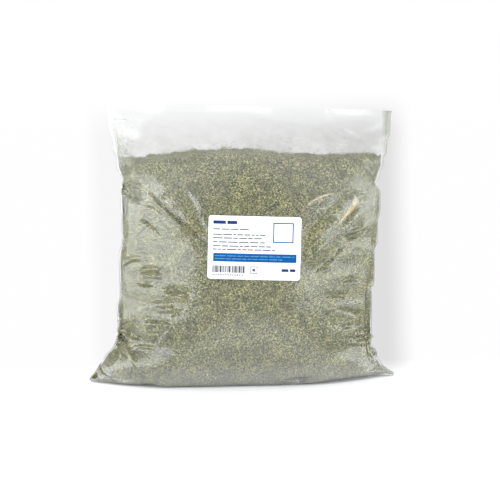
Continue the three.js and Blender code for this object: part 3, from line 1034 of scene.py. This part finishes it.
# The film's masks: the height in metres where each sets in and is full, and its share there where that isn't 1
FILM_MIDDLE = 0.012  # x of the middle of the front
FLARE = 0.4  # what each metre from there counts for in the heights of DULL and of the painted sheen's upper corners
ON_DILL = 0.25, 0.24
DULL = 0.25, 0.275, 0.5, 1.0  # share of the gloss that is left
# Painted sheen: masks where milky white stands in for reflections of the lamps (arc, upper corners) and of the
# floor (rim along the base)
SHEEN_ARC, SHEEN_ARC_BOW = (0.088, 0.068, 0.75), 7.0
SHEEN_CORNERS, SHEEN_BELOW = (0.21, 0.262, 1.1), (0.266, 0.254)
SHEEN_RIM = 0.03, 0.008, 2.0
DUST_ABOVE, DUST_BELOW, DUST_PATCHES = (0.247, 0.253), (0.292, 0.25), (0.35, 0.75)
DARKER_EARS = 0.159, 0.166, 0.6  # darker film on the lower corners, in the dust grey, by distance from the bag's middle
# The second value is the share of painted sheen where its masks are full
VEIL_LEAST, VEIL_SHEEN, DUST_SHARE = 0.012, 0.07, 0.26
# The milky white serves both the film's faint haze and its painted sheen
CLEAR, MILK_AND_SHEEN, DUST = (0.975, 0.98, 0.98, 1), (0.9, 0.9, 0.9, 1), (0.3, 0.31, 0.25, 1)
GRAIN, WAVES, DUST_NOISE = (2.4 * MM, 2.0), (16 * MM, 3.0), (22 * MM, 4.0, 0.6)  # size, detail and roughness
GRAIN_DEEP, WAVES_DEEP = 0.17 * MM, 0.9 * MM
STEEP_POWER, SHINE = 5.0, (0.72, 0.072)  # gloss seen from the side and straight on
GLOSS_TINT = (0.0, 1.0), (0.25, 0.4), (0.6, 0.08)
GLOSS_ROUGH, BROAD_SHARE = (0.12, 0.36), 0.55


def film_haze_and_sheen(look, aside, height, flare):
    """Share of milky white: a faint even haze everywhere, plus painted sheen for the lamps' reflections in a
    low arc towards the sides and in the upper corners of the filled part, and painted reflection of the floor
    along the base.
    """
    # Painted sheen: more milk in a low arc towards the sides, in the upper corners of the fill and along the
    # base
    arc = look.math("MULTIPLY_ADD", look.math("MULTIPLY", aside, aside), SHEEN_ARC_BOW, height)
    corners = look.fade(flare, *SHEEN_CORNERS)
    sheen = look.math("MULTIPLY_ADD", corners, look.fade(height, *SHEEN_BELOW), look.fade(arc, *SHEEN_ARC))
    sheen = look.math("ADD", look.fade(height, *SHEEN_RIM), sheen)
    return look.math("MULTIPLY_ADD", sheen, VEIL_SHEEN, VEIL_LEAST)


def film_dust_and_dark_ears(look, across, height):
    """Share of the dust grey: dust in patches above the dill, and a darker film on the lower corners."""
    band = look.math("MULTIPLY", look.fade(height, *DUST_ABOVE), look.fade(height, *DUST_BELOW))
    cover = look.math("MULTIPLY", band, look.fade(look.noise(*DUST_NOISE), *DUST_PATCHES))
    # Darker film on the lower corners
    ears = look.fade(look.math("ABSOLUTE", across), *DARKER_EARS)
    return look.math("MAXIMUM", look.fade(cover, 0.0, 1.0, DUST_SHARE), ears)


def film_material():
    look = finish("clear_film")
    spot = look.add("SeparateXYZ", {"Vector": look.place}).outputs
    height = spot["Z"]
    aside = look.math("SUBTRACT", spot["X"], FILM_MIDDLE)
    flare = look.math("MULTIPLY_ADD", look.math("ABSOLUTE", aside), FLARE, height)
    grain = look.bump(look.noise(*GRAIN), GRAIN_DEEP, look.fade(height, *ON_DILL))
    normal = look.bump(look.noise(*WAVES), WAVES_DEEP, 0.5, Normal=grain)
    facing = look.add("LayerWeight", {"Blend": 0.5, "Normal": normal}).outputs["Facing"]
    steep = look.math("POWER", facing, STEEP_POWER)
    shine = look.math("MULTIPLY", look.fade(steep, 0.0, 1.0, *SHINE), look.fade(flare, *DULL))
    tint = look.ramp(steep, *GLOSS_TINT)
    gloss = [look.shader("Glossy", tint, Roughness=rough, Normal=normal) for rough in GLOSS_ROUGH]
    # Milky white for the faint haze and the painted sheen
    clear, milk_and_sheen = look.shader("Transparent", CLEAR), look.shader("Diffuse", MILK_AND_SHEEN, Normal=normal)
    film = look.mixed(film_haze_and_sheen(look, aside, height, flare), clear, milk_and_sheen)
    film = look.mixed(film_dust_and_dark_ears(look, spot["X"], height), film, look.shader("Diffuse", DUST))
    return look.out(look.mixed(shine, film, look.mixed(BROAD_SHARE, *gloss)))


DILL_GRAIN = 0.85 * MM
DILL_TONES = (
    (0.0, (0.005, 0.008, 0.002)), (0.35, (0.04, 0.05, 0.01)),
    (0.7, (0.167, 0.182, 0.038)), (1.0, (0.51, 0.43, 0.24)),
)


def dill_material():
    look = finish("dried_dill")
    cells = look.add("TexVoronoi", {"Vector": look.place, "Scale": 1 / DILL_GRAIN, "Randomness": 1.0})
    tone = look.add("SeparateColor", {"Color": cells.outputs["Color"]}).outputs[0]
    relief = look.bump(cells.outputs["Distance"], 0.7 * MM, 0.8)
    return look.out(look.principled(look.mottled(look.ramp(tone, *DILL_TONES)), 0.9, 0.2, Normal=relief))


def two_tone(look, colour, noise, first, last):
    """The colour times the first and last gain, from two stops of a noise and a gain each."""
    stops = [(position, tuple(part * gain for part in colour)) for position, gain in (first, last)]
    return look.ramp(look.noise(*noise), *stops)


def leaf_material(name, colour):
    look = finish(name)
    shade = two_tone(look, colour, (1.3 * MM, 1.0), (0.3, 0.45), (0.7, 1.75))
    return look.out(look.principled(look.mottled(shade), 0.85, 0.25))


def paper_material():
    look = finish("label_paper")
    shade = look.ramp(look.noise(9 * MM, 3.0), (0.3, (0.83, 0.84, 0.86)), (0.7, (0.87, 0.88, 0.9)))
    fibre = look.bump(look.noise(0.5 * MM, 4.0), 0.03 * MM, 0.4)
    return look.out(look.principled(shade, 0.6, 0.2, Normal=fibre))


def ink_material(name):
    look = finish(name)
    shade = two_tone(look, INKS[name], (2.5 * MM, 3.0), (0.35, 1.15), (0.65, 0.9))
    return look.out(look.principled(shade, 0.6, 0.1))


# ---- The studio ----

ROOM_LIGHT = 0.85
LAMP_COLOUR = (0.94, 0.98, 1.03)
SIDE_BOX_HEIGHT, SIDE_BOX_TALL = 0.16, 0.54
SIDE_BOX_ENDS = (0.665, -2.13), (1.69, 0.685)  # x and y of both ends of the strip of light on the right
SIDE_BOX_BRIGHT = {-1: 3.9, 1: 3.5}  # radiance of the strips on the left and right
# Name, place, aim, size, power and whether gloss mirrors it
LAMPS = [
    ("softbox_top", (0, 0.5, 1.9), (0, 0.5, 0), (3.2, 4.0), 50, False),
    ("panel_left", (-0.78, -0.4, 0.01), (-0.78, -0.4, 1), (0.9, 1.0), 5),
    ("panel_right", (0.8, -0.4, 0.01), (0.8, -0.4, 1), (0.9, 1.0), 1.8),
]
# Soft shade on the background, by direction: reach across, upper edge and start ahead, and brightness across
SHADE_REACH, SHADE_TOP, SHADE_AHEAD = (-0.118, 0.118), (0.025, -0.009), (0.7, 0.9)
SHADE = [(0.0, 1.0), (0.07, 0.93), (0.35, 0.9), (0.65, 0.82), (0.9, 0.74), (1.0, 1.0)]
SHADE_TINT = 1.003, 0.995, 1
FLOOR_SIDE, FLOOR_FRONT, FLOOR_BACK, FLOOR_WHITE = 1.5, -0.9, 0.13, 0.9
FLOOR_FADE = -0.06, 0.12  # y where the floor starts to give way to the white background, and where it is gone
AIM, AWAY = Vector((0.0117, 0, 0.1445)), 1.56
LOOKING_DOWN, ROLL = math.radians(5), math.radians(1.25)
FOCAL_LENGTH, SENSOR = 101, 36  # mm


def floor_material():
    look = finish("studio_white")
    shade = two_tone(look, (FLOOR_WHITE,) * 3, (0.5, 2.0), (0.3, 0.995), (0.7, 1.0))
    depth = look.add("SeparateXYZ", {"Vector": look.place}).outputs["Y"]
    far = look.fade(depth, *FLOOR_FADE, interpolation_type="SMOOTHSTEP")
    near, none = look.principled(shade, 0.9, 0.2), look.shader("Transparent", (1, 1, 1, 1))
    return look.out(look.mixed(far, near, none))


def floor():
    front, back = ([(x, y, 0) for x in (-FLOOR_SIDE, FLOOR_SIDE)] for y in (FLOOR_FRONT, FLOOR_BACK))
    mesh_object("studio_floor", [(front + back, [(0, 1, 3, 2)])], floor_material())


def studio_air():
    """A white background with a soft shade, round a dimmer room."""
    air = Nodes(bpy.data.worlds.new("studio_air"), "Generated")
    way = air.add("SeparateXYZ", {"Vector": air.place}).outputs
    stops = [(position, tuple(value * part for part in SHADE_TINT)) for position, value in SHADE]
    shade = air.ramp(air.fade(way["X"], *SHADE_REACH), *stops)
    shade.node.color_ramp.interpolation = "EASE"
    below = air.fade(way["Z"], *SHADE_TOP, interpolation_type="SMOOTHSTEP")
    share = air.fade(way["Y"], *SHADE_AHEAD, below)
    white = (1, 1, 1, 1)
    shaded = air.add("Mix", {0: share, 6: white, 7: shade}, data_type="RGBA").outputs[2]
    seen, room = (
        air.add("Background", {"Color": colour, "Strength": strength}).outputs[0]
        for colour, strength in ((shaded, 1.0), (white, ROOM_LIGHT))
    )
    return air.out(air.mixed(air.add("LightPath").outputs["Is Camera Ray"], room, seen), "World")


def lamp(name, place, aim, size, power, mirrored=True):
    light = bpy.data.lights.new(name, "AREA")
    light.shape = "RECTANGLE"
    light.size, light.size_y = size
    light.energy = power
    light.color = LAMP_COLOUR
    stand = bpy.data.objects.new(name, light)
    stand.location = place
    stand.visible_glossy = mirrored
    stand.rotation_euler = (Vector(aim) - Vector(place)).to_track_quat("-Z", "Y").to_euler()
    bpy.context.scene.collection.objects.link(stand)


def side_box(near, far, bright):
    """A strip of light between two places on the floor plan that faces the bag."""
    along = Vector((far[0] - near[0], far[1] - near[1], 0))
    middle = Vector(((near[0] + far[0]) / 2, (near[1] + far[1]) / 2, SIDE_BOX_HEIGHT))
    facing = along.cross(Vector((0, 0, 1))).normalized()
    facing *= -1 if facing.dot(middle) > 0 else 1
    size = (along.length, SIDE_BOX_TALL)
    lamp("softbox", middle, middle + facing, size, bright * math.pi * size[0] * size[1])


def studio():
    scene = bpy.context.scene
    scene.world = studio_air()
    floor()
    for side, bright in SIDE_BOX_BRIGHT.items():
        near, far = ((side * x, y) for x, y in SIDE_BOX_ENDS)
        side_box(near, far, bright)
    for each in LAMPS:
        lamp(*each)
    scene.view_settings.view_transform = "Standard"
    scene.view_settings.look = "None"


def camera():
    """The view at the bag's height, looking slightly down, with a slight roll."""
    ahead = Vector((0, math.cos(LOOKING_DOWN), -math.sin(LOOKING_DOWN)))
    right = Vector((1, 0, 0))
    up = right.cross(ahead)
    across = right * math.cos(ROLL) - up * math.sin(ROLL)
    above = right * math.sin(ROLL) + up * math.cos(ROLL)
    lens = bpy.data.cameras.new("camera")
    lens.lens = FOCAL_LENGTH
    lens.sensor_width = SENSOR
    eye = bpy.data.objects.new("camera", lens)
    turn = Matrix((across, above, -ahead)).transposed()
    eye.matrix_world = Matrix.Translation(AIM - ahead * AWAY) @ turn.to_4x4()
    bpy.context.scene.collection.objects.link(eye)
    bpy.context.scene.camera = eye


film_piece()
dill_piece()
tip_pieces()
crumb_piece()
stalk_piece()
label_piece()
print_piece()
studio()
camera()
